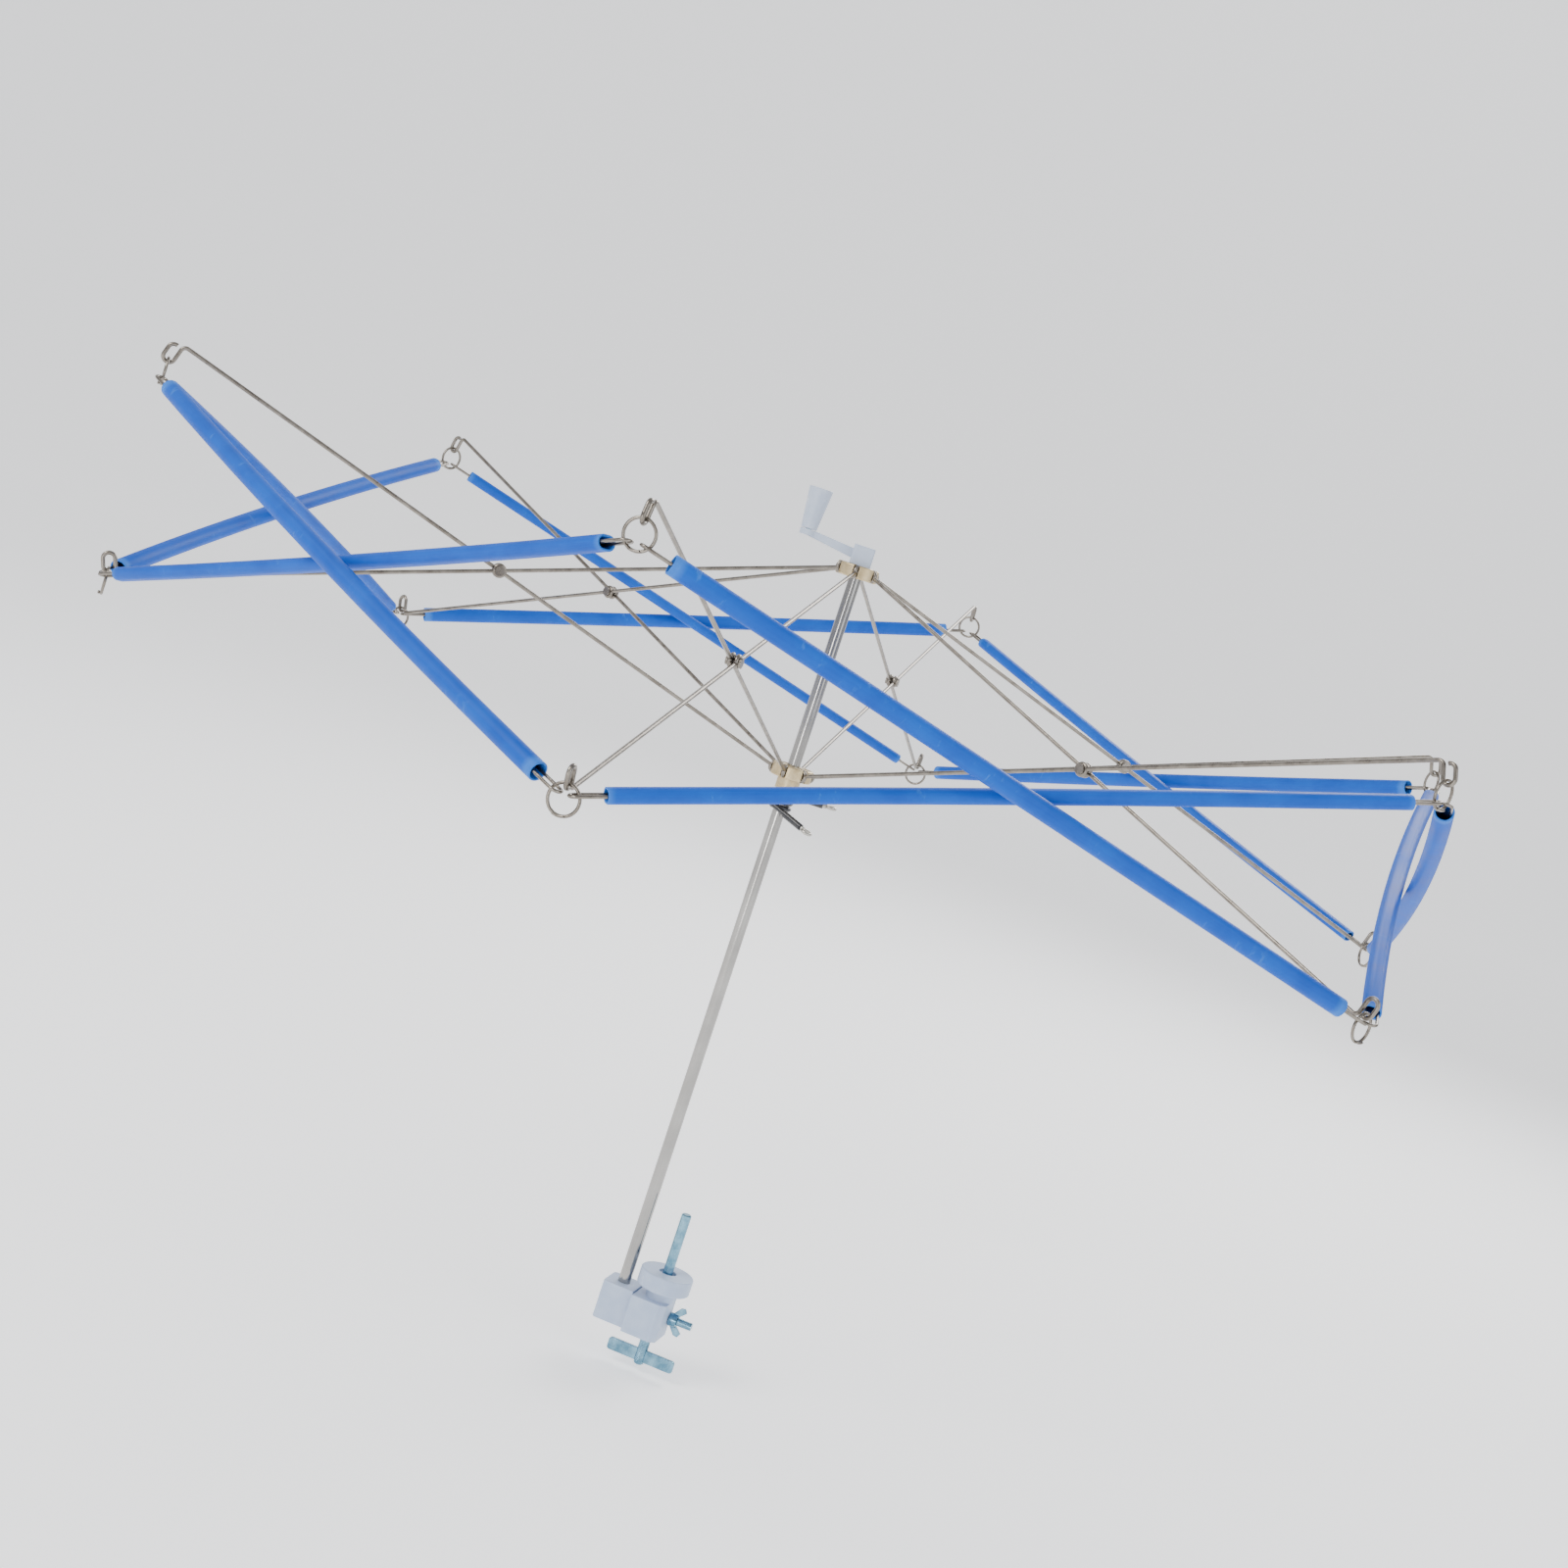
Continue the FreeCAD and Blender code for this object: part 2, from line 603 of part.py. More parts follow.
def clamp_body():
    """The block under the disc, with its neck, screw hole and tilt bolt hole."""
    left, right = BLOCK_LEFT, BLOCK_RIGHT
    front = BLOCK_DEPTH / 2
    outline = Part.makePolygon([
        Vec(left, -front, 0),
        Vec(right - BLOCK_CHAMFER, -front, 0),
        Vec(right, BLOCK_CHAMFER - front, 0),
        Vec(right, front - BLOCK_CHAMFER, 0),
        Vec(right - BLOCK_CHAMFER, front, 0),
        Vec(left, front, 0),
        Vec(left, -front, 0),
    ])
    block = Part.Face(outline).extrude(Z_AXIS * -BLOCK_HEIGHT)
    block.translate(Z_AXIS * BLOCK_TOP)
    neck = Part.makeCylinder(NECK_R, NECK_HEIGHT, Vec(0, 0, BLOCK_TOP))
    body = block.fuse(neck).removeSplitter()
    hole_r = STUD_R + SCREW_GAP
    screw_hole = Part.makeCylinder(hole_r, 2 * BLOCK_HEIGHT, Vec(0, 0, BLOCK_TOP - 1.5 * BLOCK_HEIGHT))
    return body.cut([screw_hole, tilt_bolt_hole(BLOCK_LEFT)])


def tilt_y():
    """The tilt bolt passes behind the clamp screw."""
    return STUD_R + TILT_BOLT_R + TILT_BOLT_WALL


def tilt_bolt_hole(from_x):
    start = Vec(from_x, tilt_y(), TILT_AXIS_Z)
    return Part.makeCylinder(TILT_BOLT_R + SCREW_GAP, TILT_HOLE_LENGTH, start, X_AXIS)


def clamp_disc():
    disc = Part.makeCylinder(DISC_R, DISC_HEIGHT, Vec(0, 0, -DISC_HEIGHT))
    disc = disc.makeFillet(DISC_RIM_ROUND, [e for e in disc.Edges if e.isClosed()])
    recess = Part.makeCylinder(DISC_RECESS_R, DISC_RECESS_DEPTH, Vec(0, 0, -DISC_RECESS_DEPTH))
    bore = Part.makeCylinder(STUD_R + SCREW_GAP, DISC_HEIGHT, Vec(0, 0, -DISC_HEIGHT))
    return disc.cut([recess, bore])


def clamp_screw():
    """The stud: a round screw with a rounded tip, which the wing passes through."""
    low = BLOCK_TOP - BLOCK_HEIGHT - STUD_BELOW_BLOCK
    stud = Part.makeCylinder(STUD_R, STUD_ABOVE_DISC - low, Vec(0, 0, low))
    ends = [e for e in stud.Edges if e.isClosed()]
    stud = stud.makeChamfer(0.6, ends)
    return stud.cut(wing_plate())


def wing_centre_z():
    return BLOCK_TOP - BLOCK_HEIGHT - WING_DROP


def wing_plate():
    plate = box(Vec(0, 0, wing_centre_z()), (WING_LENGTH, WING_THICKNESS, WING_HEIGHT))
    corners = [e for e in plate.Edges if abs(e.tangentAt(0).y) > 0.9]
    return plate.makeFillet(1.6, corners)


def shaft_holder():
    """The block that the mast turns in. It tilts on the bolt through the clamp body."""
    centre = Vec(-MAST_OFFSET, 0, HOLDER_TOP - HOLDER_HEIGHT / 2)
    block = box(centre, (HOLDER_WIDTH, HOLDER_DEPTH, HOLDER_HEIGHT))
    left_edges = [e for e in block.Edges if e.CenterOfMass.x < centre.x and abs(e.tangentAt(0).z) > 0.9]
    block = block.makeFillet(2.0, left_edges)
    socket_low = HOLDER_TOP - HOLDER_SOCKET_DEPTH
    socket = Part.makeCylinder(MAST_R + HOLDER_SOCKET_GAP, HOLDER_SOCKET_DEPTH, MAST + Z_AXIS * socket_low)
    hole_x = -MAST_OFFSET - HOLDER_WIDTH / 2
    hole = Part.makeCylinder(TILT_BOLT_R, HOLDER_WIDTH, Vec(hole_x, tilt_y(), TILT_AXIS_Z), X_AXIS)
    return block.cut([socket, hole])


def tilt_bolt():
    head_x = -MAST_OFFSET - HOLDER_WIDTH / 2
    end_x = BLOCK_RIGHT + SIDE_GAP + WING_NUT_LENGTH + TILT_BOLT_PAST_NUT
    shank = Part.makeCylinder(TILT_BOLT_R, end_x - head_x, Vec(head_x, tilt_y(), TILT_AXIS_Z), X_AXIS)
    head_start = Vec(head_x - TILT_BOLT_HEAD_HEIGHT, tilt_y(), TILT_AXIS_Z)
    head = Part.makeCylinder(TILT_BOLT_HEAD_R, TILT_BOLT_HEAD_HEIGHT, head_start, X_AXIS)
    return shank.fuse(head)


def wing_nut():
    """A boss with two flared ears."""
    start = Vec(BLOCK_RIGHT + SIDE_GAP, tilt_y(), TILT_AXIS_Z)
    boss = Part.makeCylinder(WING_NUT_R, WING_NUT_LENGTH, start, X_AXIS)
    pieces = []
    half = WING_NUT_THICKNESS / 2
    for up in (-1, 1):
        ear = Part.makePolygon([
            start + Vec(0.6, -half, up * TILT_BOLT_R * 1.2),
            start + Vec(WING_NUT_LENGTH, -half, up * TILT_BOLT_R * 1.2),
            start + Vec(WING_NUT_REACH, -half, up * (WING_NUT_SPAN / 2 - 2.0)),
            start + Vec(WING_NUT_REACH - 1.2, -half, up * WING_NUT_SPAN / 2),
            start + Vec(WING_NUT_REACH - 3.6, -half, up * (WING_NUT_SPAN / 2 - 0.4)),
            start + Vec(0.6, -half, up * TILT_BOLT_R * 1.2),
        ])
        pieces.append(Part.Face(ear).extrude(Y_AXIS * WING_NUT_THICKNESS))
    bore = Part.makeCylinder(TILT_BOLT_R + SCREW_GAP, 3 * WING_NUT_LENGTH, start - X_AXIS, X_AXIS)
    return boss.fuse(pieces).cut(bore)


# ---- the whole object --------------------------------------------------------------

def build():
    """Every node's shape by name."""
    nodes = {
        "clamp_body": clamp_body(),
        "clamp_disc": clamp_disc(),
        "clamp_screw": clamp_screw(),
        "screw_wing": wing_plate(),
        "shaft_holder": shaft_holder(),
        "tilt_bolt": tilt_bolt(),
        "wing_nut": wing_nut(),
        "mast": mast(),
        "upper_hub": upper_hub(),
        "upper_hinge_ring": hinge_ring(TOP_HINGE_Z),
        "lower_hub": lower_hub(),
        "lower_hinge_ring": hinge_ring(runner_z()),
        "crank_arm": crank_arm(),
        "crank_set_screw": crank_set_screw(),
        "crank_knob": crank_knob(),
        "knob_pin": knob_pin(),
        "grip_spring": grip_coil(),
        "grip_handle": grip_handle(),
    }
    arm = plain_arm()
    for index in range(ARM_PAIRS):
        number = index + 1
        lower = [place_arm(arm, index, 1), pivot_rivet(index), ring(index, 1)]
        nodes[f"lower_arm_{number}"] = Part.makeCompound(lower)
        nodes[f"upper_arm_{number}"] = place_arm(arm, index, -1)
        nodes[f"rail_ring_{number}"] = ring(index, -1)
    for turn, side in ((1, "right"), (-1, "left")):
        length = rail_length(turn)
        link = flat_link(length)
        sleeve = flat_sleeve(length, turn)
        for index in range(ARM_PAIRS):
            number = index + 1
            nodes[f"rail_wire_{side}_{number}"] = place_rail(link, index, turn)
            nodes[f"rail_sleeve_{side}_{number}"] = place_rail(sleeve, index, turn)
    return nodes


def main():
    os.makedirs("parts", exist_ok=True)
    for name, shape in build().items():
        shape.exportStep(os.path.join("parts", name + ".step"))
        print(name, "solids", len(shape.Solids), "valid", shape.isValid(), "mm3", round(shape.Volume, 1))


if __name__ == "__main__":
    main()
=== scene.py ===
import json
import math

import bmesh
import bpy
from mathutils import Matrix, Vector


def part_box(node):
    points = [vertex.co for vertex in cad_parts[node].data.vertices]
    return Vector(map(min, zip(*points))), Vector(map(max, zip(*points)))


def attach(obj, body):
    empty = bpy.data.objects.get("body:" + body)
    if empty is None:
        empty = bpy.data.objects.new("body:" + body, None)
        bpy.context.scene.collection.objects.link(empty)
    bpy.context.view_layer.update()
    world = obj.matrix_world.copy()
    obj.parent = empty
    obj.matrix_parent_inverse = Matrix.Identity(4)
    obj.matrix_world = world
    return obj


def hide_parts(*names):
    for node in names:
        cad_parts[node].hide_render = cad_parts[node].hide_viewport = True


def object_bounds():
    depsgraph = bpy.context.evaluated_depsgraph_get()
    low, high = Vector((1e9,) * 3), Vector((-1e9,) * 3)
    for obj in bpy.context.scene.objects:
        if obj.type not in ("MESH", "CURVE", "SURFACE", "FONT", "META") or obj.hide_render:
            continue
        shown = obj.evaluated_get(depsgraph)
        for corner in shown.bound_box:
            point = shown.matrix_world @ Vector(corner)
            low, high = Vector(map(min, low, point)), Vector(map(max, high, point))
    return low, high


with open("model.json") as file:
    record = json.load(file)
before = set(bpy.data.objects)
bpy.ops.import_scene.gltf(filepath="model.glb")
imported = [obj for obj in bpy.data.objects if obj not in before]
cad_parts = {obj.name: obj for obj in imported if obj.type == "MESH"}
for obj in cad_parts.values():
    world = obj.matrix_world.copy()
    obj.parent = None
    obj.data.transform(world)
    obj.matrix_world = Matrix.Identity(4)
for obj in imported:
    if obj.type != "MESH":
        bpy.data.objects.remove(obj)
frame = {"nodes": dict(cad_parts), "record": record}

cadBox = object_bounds()
upward = Vector((0, 0, 1))
sideNames = ("right", "left")
pairCount = sum(1 for name in frame["nodes"] if name.startswith("upper_arm_"))


def middle(node):
    low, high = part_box(node)
    return (low + high) / 2


mastAxis = middle("mast")  # only x and y are used
print("frame loaded:", len(frame["nodes"]), "nodes,", pairCount, "arm pairs")


# camera, lights and floor

cameraValues = {
    "azimuth": 13.05,  # degrees round from the front
    "elevation": 5.37,
    "distance": 1.2214,
    "aside": -0.00175,  # aim point, to the right of the mast
    "belowHub": 0.11324,  # aim point, down from the upper hub
    "roll": 18.19,
    "lens": 55.28,
    "sensor": 36.0,
}


def makeCamera(values):
    azimuth = math.radians(values["azimuth"])
    elevation = math.radians(values["elevation"])
    roll = math.radians(values["roll"])
    level = Vector((math.cos(azimuth), math.sin(azimuth), 0))
    back = Vector((math.sin(azimuth), -math.cos(azimuth), 0)) * math.cos(elevation)
    back += upward * math.sin(elevation)
    top = back.cross(level)
    aim = middle("upper_hub") + level * values["aside"] - upward * values["belowHub"]
    right = level * math.cos(roll) + top * math.sin(roll)
    above = top * math.cos(roll) - level * math.sin(roll)
    data = bpy.data.cameras.new("camera")
    data.lens = values["lens"]
    data.sensor_width = values["sensor"]
    data.clip_end = 50
    camera = bpy.data.objects.new("camera", data)
    turn = Matrix((right, above, back)).transposed().to_4x4()
    camera.matrix_world = Matrix.Translation(aim + back * values["distance"]) @ turn
    bpy.context.scene.collection.objects.link(camera)
    bpy.context.scene.camera = camera


lightValues = {
    "key": {"spot": (-1.3, -1.5, 1.9), "size": 1.1, "power": 46, "colour": (1.0, 0.985, 0.96)},
    "fill": {"spot": (1.9, -1.0, 0.9), "size": 1.6, "power": 16, "colour": (0.93, 0.97, 1.0)},
    "back": {"spot": (0.4, 1.7, 1.5), "size": 1.2, "power": 30, "colour": (1.0, 1.0, 1.0)},
    "strip": {"spot": (-0.2, -2.0, 0.15), "size": 0.5, "power": 6, "colour": (1.0, 1.0, 1.0)},
}


def makeLights(values):
    aim = middle("lower_hub")
    for name, light in values.items():
        data = bpy.data.lights.new(name, "AREA")
        data.shape = "DISK"
        data.size = light["size"]
        data.energy = light["power"]
        data.color = light["colour"]
        lamp = bpy.data.objects.new(name, data)
        lamp.location = light["spot"]
        lamp.rotation_euler = (aim - lamp.location).to_track_quat("-Z", "Y").to_euler()
        bpy.context.scene.collection.objects.link(lamp)


floorValues = {
    "below": 0.004,  # under the lowest point of the object
    "front": 7.0,
    "behind": 5.0,
    "half": 9.0,
    "coveRadius": 3.0,
    "rise": 5.0,
    "colour": (0.93, 0.93, 0.93, 1),
    "glow": 0.55,
    "sky": (0.93, 0.95, 1.0, 1),
    "skyStrength": 0.8,
}


def makeFloor(values):
    level = min(corner[2] for corner in cadBox) - values["below"]
    azimuth = math.radians(cameraValues["azimuth"])
    bm = bmesh.new()
    start = [
        bm.verts.new((-values["half"], -values["front"], level)),
        bm.verts.new((values["half"], -values["front"], level)),
    ]
    edge = bm.edges.new(start)
    made = bmesh.ops.extrude_edge_only(bm, edges=[edge])["geom"]
    verts = [v for v in made if isinstance(v, bmesh.types.BMVert)]
    bmesh.ops.translate(bm, verts=verts, vec=(0, values["front"] + values["behind"], 0))
    edges = [e for e in made if isinstance(e, bmesh.types.BMEdge)]
    cove = bmesh.ops.spin(
        bm,
        geom=verts + edges,
        cent=(0, values["behind"], level + values["coveRadius"]),
        axis=(1, 0, 0),
        angle=math.radians(90),
        steps=24,
    )["geom_last"]
    edges = [e for e in cove if isinstance(e, bmesh.types.BMEdge)]
    made = bmesh.ops.extrude_edge_only(bm, edges=edges)["geom"]
    verts = [v for v in made if isinstance(v, bmesh.types.BMVert)]
    bmesh.ops.translate(bm, verts=verts, vec=(0, 0, values["rise"]))
    bmesh.ops.recalc_face_normals(bm, faces=bm.faces)
    mesh = bpy.data.meshes.new("floor")
    bm.to_mesh(mesh)
    bm.free()
    mesh.transform(Matrix.Rotation(azimuth, 4, "Z"))
    mesh.shade_smooth()
    floor = bpy.data.objects.new("floor", mesh)
    bpy.context.scene.collection.objects.link(floor)
    paper = bpy.data.materials.new("floorPaper")
    paper.use_nodes = True
    shader = paper.node_tree.nodes["Principled BSDF"]
    shader.inputs["Base Color"].default_value = values["colour"]
    shader.inputs["Roughness"].default_value = 0.9
    shader.inputs["Specular IOR Level"].default_value = 0.1
    shader.inputs["Emission Color"].default_value = values["colour"]
    shader.inputs["Emission Strength"].default_value = values["glow"]
    mesh.materials.append(paper)
    world = bpy.data.worlds.new("softRoom")
    world.use_nodes = True
    sky = world.node_tree.nodes["Background"]
    sky.inputs["Color"].default_value = values["sky"]
    sky.inputs["Strength"].default_value = values["skyStrength"]
    bpy.context.scene.world = world


makeCamera(cameraValues)
makeLights(lightValues)
makeFloor(floorValues)
print("camera, lights and floor made")


# shared surface effects

def addNode(tree, kind, settings=None, sockets=None):
    made = tree.nodes.new(kind)
    for key, value in (settings or {}).items():
        setattr(made, key, value)
    for key, value in (sockets or {}).items():
        made.inputs[key].default_value = value
    return made


def newGroup(name, inputs, outputs):
    tree = bpy.data.node_groups.new(name, "ShaderNodeTree")
    for label, kind, value in inputs:
        made = tree.interface.new_socket(label, in_out="INPUT", socket_type=kind)
        if value is not None:
            made.default_value = value
    for label, kind in outputs:
        tree.interface.new_socket(label, in_out="OUTPUT", socket_type=kind)
    return tree, tree.nodes.new("NodeGroupInput"), tree.nodes.new("NodeGroupOutput")


def makeMottleGroup():
    # slow uneven tone, from 0 to 1
    tree, start, end = newGroup(
        "mottle",
        [
            ("Vector", "NodeSocketVector", None),
            ("Scale", "NodeSocketFloat", 60.0),
            ("Low", "NodeSocketFloat", 0.35),
            ("High", "NodeSocketFloat", 0.65),
        ],
        [("Tone", "NodeSocketFloat")],
    )
    noise = addNode(tree, "ShaderNodeTexNoise", sockets={"Detail": 5.0, "Roughness": 0.55})
    spread = addNode(tree, "ShaderNodeMapRange")
    tree.links.new(start.outputs["Vector"], noise.inputs["Vector"])
    tree.links.new(start.outputs["Scale"], noise.inputs["Scale"])
    tree.links.new(noise.outputs["Fac"], spread.inputs["Value"])
    tree.links.new(start.outputs["Low"], spread.inputs["From Min"])
    tree.links.new(start.outputs["High"], spread.inputs["From Max"])
    tree.links.new(spread.outputs["Result"], end.inputs["Tone"])
    return tree


def makeScuffGroup():
    # sparse handling marks: short scratches that a broken-up noise lets through in places
    tree, start, end = newGroup(
        "scuffs",
        [
            ("Vector", "NodeSocketVector", None),
            ("Scale", "NodeSocketFloat", 300.0),
            ("Amount", "NodeSocketFloat", 0.3),
        ],
        [("Mask", "NodeSocketFloat")],
    )
    stretch = addNode(
        tree, "ShaderNodeMapping", sockets={"Scale": (1.0, 0.16, 0.4), "Rotation": (0.5, 0.3, 0.7)},
    )
    scratch = addNode(tree, "ShaderNodeTexNoise", sockets={"Detail": 3.0, "Roughness": 0.7})
    thin = addNode(tree, "ShaderNodeMapRange", sockets={"From Min": 0.6, "From Max": 0.7})
    patch = addNode(tree, "ShaderNodeTexNoise", sockets={"Scale": 45.0, "Detail": 2.0})
    where = addNode(tree, "ShaderNodeMapRange", sockets={"From Min": 0.48, "From Max": 0.62})
    both = addNode(tree, "ShaderNodeMath", {"operation": "MULTIPLY"})
    final = addNode(tree, "ShaderNodeMath", {"operation": "MULTIPLY", "use_clamp": True})
    tree.links.new(start.outputs["Vector"], stretch.inputs["Vector"])
    tree.links.new(stretch.outputs["Vector"], scratch.inputs["Vector"])
    tree.links.new(start.outputs["Scale"], scratch.inputs["Scale"])
    tree.links.new(start.outputs["Vector"], patch.inputs["Vector"])
    tree.links.new(scratch.outputs["Fac"], thin.inputs["Value"])
    tree.links.new(patch.outputs["Fac"], where.inputs["Value"])
    tree.links.new(thin.outputs["Result"], both.inputs[0])
    tree.links.new(where.outputs["Result"], both.inputs[1])
    tree.links.new(both.outputs["Value"], final.inputs[0])
    tree.links.new(start.outputs["Amount"], final.inputs[1])
    tree.links.new(final.outputs["Value"], end.inputs["Mask"])
    return tree


def makeGrainGroup():
    # fine lines along the long way of a drawn or extruded piece; the stretch sets that way
    tree, start, end = newGroup(
        "grain",
        [
            ("Vector", "NodeSocketVector", None),
            ("Stretch", "NodeSocketVector", (1.0, 1.0, 0.05)),
            ("Scale", "NodeSocketFloat", 900.0),
        ],
        [("Tone", "NodeSocketFloat"), ("Height", "NodeSocketFloat")],
    )
    pull = addNode(tree, "ShaderNodeVectorMath", {"operation": "MULTIPLY"})
    lines = addNode(tree, "ShaderNodeTexNoise", sockets={"Detail": 4.0, "Roughness": 0.6})
    fine = addNode(tree, "ShaderNodeTexNoise", sockets={"Detail": 2.0, "Roughness": 0.5})
    finer = addNode(tree, "ShaderNodeMath", {"operation": "MULTIPLY"}, {1: 3.1})
    blend = addNode(tree, "ShaderNodeMath", {"operation": "MULTIPLY_ADD"}, {1: 0.35})
    tree.links.new(start.outputs["Vector"], pull.inputs[0])
    tree.links.new(start.outputs["Stretch"], pull.inputs[1])
    tree.links.new(pull.outputs["Vector"], lines.inputs["Vector"])
    tree.links.new(pull.outputs["Vector"], fine.inputs["Vector"])
    tree.links.new(start.outputs["Scale"], lines.inputs["Scale"])
    tree.links.new(start.outputs["Scale"], finer.inputs[0])
    tree.links.new(finer.outputs["Value"], fine.inputs["Scale"])
    tree.links.new(fine.outputs["Fac"], blend.inputs[0])
    tree.links.new(lines.outputs["Fac"], blend.inputs[2])
    tree.links.new(lines.outputs["Fac"], end.inputs["Tone"])
    tree.links.new(blend.outputs["Value"], end.inputs["Height"])
    return tree


effects = {"mottle": makeMottleGroup(), "scuffs": makeScuffGroup(), "grain": makeGrainGroup()}


def useGroup(tree, name, sockets=None):
    made = addNode(tree, "ShaderNodeGroup", {"node_tree": effects[name]}, sockets)
    made.label = name
    return made


# materials: each dictionary is one finish

finishes = {
    "blueVinyl": {
        "slot": "blue_sleeve", "way": "alongRail",
        "dark": (0.001, 0.055, 0.360), "light": (0.004, 0.100, 0.520),
        "mark": (0.05, 0.22, 0.62), "markAmount": 0.45, "markScale": 260.0,
        "metallic": 0.0, "roughLow": 0.46, "roughHigh": 0.62, "specular": 0.15, "coat": 0.0,
        "mottleScale": 45.0, "grainScale": 1300.0, "stretch": (0.015, 1.0, 1.0),
        "bump": 0.10, "bumpDistance": 0.00006,
    },
    "drawnWire": {
        "slot": "wire_steel", "way": "Object",
        "dark": (0.120, 0.102, 0.085), "light": (0.320, 0.290, 0.250),
        "mark": (0.20, 0.15, 0.10), "markAmount": 0.35, "markScale": 420.0,
        "metallic": 1.0, "roughLow": 0.22, "roughHigh": 0.40, "specular": 0.5, "coat": 0.0,
        "mottleScale": 160.0, "grainScale": 1500.0, "stretch": (1.0, 1.0, 1.0),
        "bump": 0.08, "bumpDistance": 0.00004,
    },
    "polishedMast": {
        "slot": "mast_steel", "way": "Object",
        "dark": (0.26, 0.25, 0.24), "light": (0.42, 0.41, 0.39),
        "mark": (0.33, 0.30, 0.27), "markAmount": 0.12, "markScale": 700.0,
        "metallic": 1.0, "roughLow": 0.08, "roughHigh": 0.17, "specular": 0.5, "coat": 0.0,
        "mottleScale": 40.0, "grainScale": 1400.0, "stretch": (1.0, 1.0, 0.03),
        "bump": 0.03, "bumpDistance": 0.00003,
    },
    "castHub": {
        "slot": "hub_brass", "way": "Object",
        "dark": (0.42, 0.31, 0.15), "light": (0.70, 0.58, 0.36),
        "mark": (0.90, 0.86, 0.74), "markAmount": 0.55, "markScale": 500.0,
        "metallic": 0.75, "roughLow": 0.30, "roughHigh": 0.46, "specular": 0.5, "coat": 0.0,
        "mottleScale": 260.0, "grainScale": 1600.0, "stretch": (1.0, 1.0, 1.0),
        "bump": 0.14, "bumpDistance": 0.00006,
    },
    "clampPlastic": {
        "slot": "clamp_plastic", "way": "Object",
        "dark": (0.34, 0.43, 0.60), "light": (0.46, 0.54, 0.68),
        "mark": (0.88, 0.90, 0.94), "markAmount": 0.35, "markScale": 380.0,
        "metallic": 0.0, "roughLow": 0.36, "roughHigh": 0.50, "specular": 0.45, "coat": 0.08,
        "mottleScale": 120.0, "grainScale": 2200.0, "stretch": (1.0, 1.0, 1.0),
        "bump": 0.12, "bumpDistance": 0.00005,
    },
    "crankPlastic": {
        "slot": "crank_plastic", "way": "Object",
        "dark": (0.38, 0.45, 0.58), "light": (0.50, 0.56, 0.66),
        "mark": (0.86, 0.90, 0.96), "markAmount": 0.3, "markScale": 420.0,
        "metallic": 0.0, "roughLow": 0.28, "roughHigh": 0.40, "specular": 0.5, "coat": 0.15,
        "mottleScale": 140.0, "grainScale": 2400.0, "stretch": (1.0, 1.0, 1.0),
        "bump": 0.08, "bumpDistance": 0.00004,
    },
    "blueZinc": {
        "slot": "zinc", "way": "Object",
        "dark": (0.030, 0.130, 0.210), "light": (0.300, 0.520, 0.640),
        "mark": (0.42, 0.40, 0.34), "markAmount": 0.3, "markScale": 520.0,
        "metallic": 1.0, "roughLow": 0.10, "roughHigh": 0.30, "specular": 0.5, "coat": 0.0,
        "mottleScale": 190.0, "grainScale": 1800.0, "stretch": (1.0, 1.0, 0.3),
        "bump": 0.10, "bumpDistance": 0.00004,
    },
    "dippedBlack": {
        "slot": "grip_black", "way": "Object",
        "dark": (0.007, 0.007, 0.009), "light": (0.020, 0.020, 0.024),
        "mark": (0.10, 0.10, 0.11), "markAmount": 0.4, "markScale": 420.0,
        "metallic": 0.0, "roughLow": 0.28, "roughHigh": 0.48, "specular": 0.5, "coat": 0.2,
        "mottleScale": 220.0, "grainScale": 1500.0, "stretch": (1.0, 1.0, 1.0),
        "bump": 0.2, "bumpDistance": 0.00006,
    },
    "blackOxide": {
        "slot": "black_steel", "way": "Object",
        "dark": (0.012, 0.012, 0.013), "light": (0.035, 0.034, 0.034),
        "mark": (0.18, 0.17, 0.16), "markAmount": 0.5, "markScale": 700.0,
        "metallic": 0.9, "roughLow": 0.30, "roughHigh": 0.50, "specular": 0.5, "coat": 0.0,
        "mottleScale": 500.0, "grainScale": 2500.0, "stretch": (1.0, 1.0, 1.0),
        "bump": 0.15, "bumpDistance": 0.00004,
    },
}


def colour(value):
    return (value[0], value[1], value[2], 1.0)


